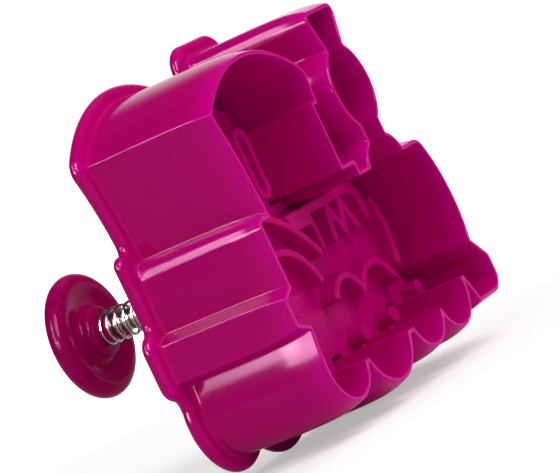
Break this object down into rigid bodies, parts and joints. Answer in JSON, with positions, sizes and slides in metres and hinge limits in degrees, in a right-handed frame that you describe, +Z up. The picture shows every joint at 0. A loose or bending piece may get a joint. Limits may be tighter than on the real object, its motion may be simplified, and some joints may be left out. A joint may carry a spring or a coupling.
{
  "type": "plunger cutter",
  "caption": "Spring-loaded embossing plunger cutter for pastry or fondant, in the outline of a steam locomotive.",
  "frame": {"origin": "middle of the bounding box in X and Y, on the ground under the lowest wheel of the flange", "axes": "+X towards the locomotive's front, +Y from the cutting mouth to the knob along the rod, +Z up"},
  "size_m": [0.0814, 0.0642, 0.0703],
  "materials": {
    "moulded_shell": "glossy magenta",
    "moulded_stamp": "satin magenta",
    "moulded_knob": "glossy magenta",
    "rod_steel": "drawn steel",
    "spring_steel": "bright spring wire"
  },
  "bodies": {
    "cutter": {"cutter_shell": "moulded_shell", "return_spring": "spring_steel"},
    "plunger": {"stamp_plate": "moulded_stamp", "plunger_rod": "rod_steel", "knob": "moulded_knob"}
  },
  "joints": [
    {"name": "plunger_slide", "type": "slide", "parent": "cutter", "child": "plunger", "axis": [0, -1, 0], "range_m": [0, 0.012], "stiffness_N_per_m": 400, "springref_m": -0.004, "deforming": ["return_spring"]}
  ]
}
